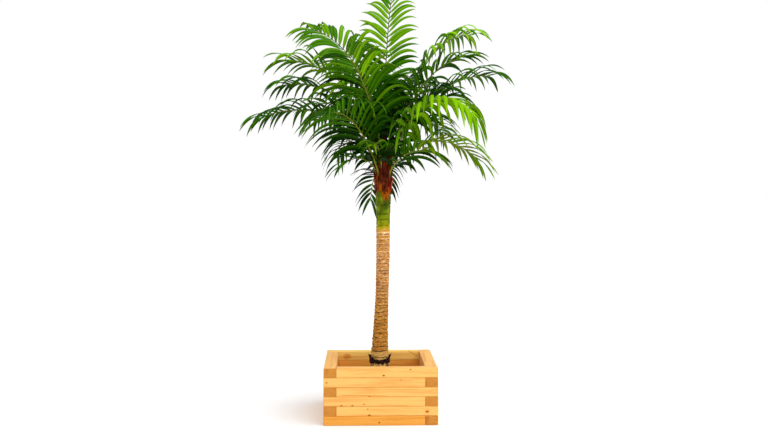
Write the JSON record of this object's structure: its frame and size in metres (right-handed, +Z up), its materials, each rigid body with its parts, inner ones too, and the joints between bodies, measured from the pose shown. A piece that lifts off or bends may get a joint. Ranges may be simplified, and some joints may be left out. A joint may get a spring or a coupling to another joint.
{
  "type": "artificial feather palm in a timber planter",
  "caption": "Artificial feather palm with a ringed trunk and arching fronds, potted in an open square planter of stacked light timbers.",
  "frame": {"origin": "middle of the planter's flat underside, at the level that it stands on", "axes": "+Z up along the trunk, -Y the planter's front face, +X to the right"},
  "size_m": [1.5755, 1.6556, 2.4673],
  "materials": {
    "planter_timber": "light honey-coloured pine, planed, with small knots",
    "floor_board": "plain pine boards",
    "base_pot": "black nursery pot",
    "cement": "rough grey cement",
    "trunk": "ringed fibrous bark, brown below and mottled green above",
    "foot_collar": "ragged dark brown fibre",
    "sheath": "red-brown coconut fibre",
    "frond": "printed green polyester leaflets on olive plastic ribs"
  },
  "bodies": {
    "root": {"base_pot": "base_pot", "cement_fill": "cement", "floor_board_back": "floor_board", "floor_board_front": "floor_board", "floor_board_middle": "floor_board", "foot_collar": "foot_collar", "frond_back": "frond", "frond_back_high": "frond", "frond_back_left": "frond", "frond_back_left_low": "frond", "frond_back_middle": "frond", "frond_back_right": "frond", "frond_back_right_low": "frond", "frond_back_upper": "frond", "frond_front_left": "frond", "frond_front_left_high": "frond", "frond_front_left_low": "frond", "frond_front_left_middle": "frond", "frond_front_middle": "frond", "frond_front_right_low": "frond", "frond_front_right_middle": "frond", "frond_left": "frond", "frond_left_high": "frond", "frond_left_low": "frond", "frond_left_upper": "frond", "frond_right": "frond", "frond_right_hanging": "frond", "frond_right_high": "frond", "frond_right_low": "frond", "frond_right_upper": "frond", "frond_top": "frond", "sheath_flap_back": "sheath", "sheath_flap_left": "sheath", "sheath_flap_right": "sheath", "timber_back_1": "planter_timber", "timber_back_2": "planter_timber", "timber_back_3": "planter_timber", "timber_back_4": "planter_timber", "timber_back_5": "planter_timber", "timber_back_6": "planter_timber", "timber_front_1": "planter_timber", "timber_front_2": "planter_timber", "timber_front_3": "planter_timber", "timber_front_4": "planter_timber", "timber_front_5": "planter_timber", "timber_front_6": "planter_timber", "timber_left_1": "planter_timber", "timber_left_2": "planter_timber", "timber_left_3": "planter_timber", "timber_left_4": "planter_timber", "timber_left_5": "planter_timber", "timber_left_6": "planter_timber", "timber_right_1": "planter_timber", "timber_right_2": "planter_timber", "timber_right_3": "planter_timber", "timber_right_4": "planter_timber", "timber_right_5": "planter_timber", "timber_right_6": "planter_timber", "trunk": "trunk"}
  },
  "joints": []
}
